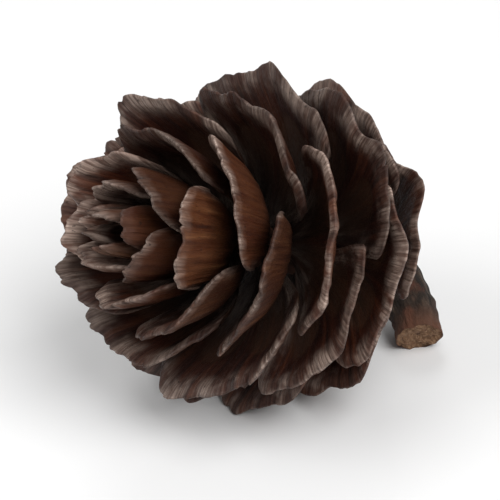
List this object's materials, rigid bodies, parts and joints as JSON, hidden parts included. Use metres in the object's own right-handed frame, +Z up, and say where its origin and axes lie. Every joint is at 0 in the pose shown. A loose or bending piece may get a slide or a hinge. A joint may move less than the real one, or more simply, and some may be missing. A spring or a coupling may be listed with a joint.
{
  "type": "larch cone",
  "caption": "Open woody conifer cone, egg-shaped, with thin rounded wavy-edged scales and a short bent stub of stalk, lying loose on its side for scattering or decoration.",
  "frame": {"origin": "Centre of the bounding box in X and Y, on the surface that the cone rests on.", "axes": "+Z is up. The cone's own axis lies in the XZ plane: its tip points to -X and is raised about 26 degrees, and its stalk bends to one side and down to the surface at +X, -Y. Y runs across the cone."},
  "size_m": [0.0314, 0.0262, 0.0262],
  "materials": {
    "scale_wood": "dry, matt, finely grained brown scale wood",
    "stalk_bark": "rough dark bark"
  },
  "bodies": {
    "root": {"cone": "scale_wood", "stalk": "stalk_bark"}
  },
  "joints": []
}
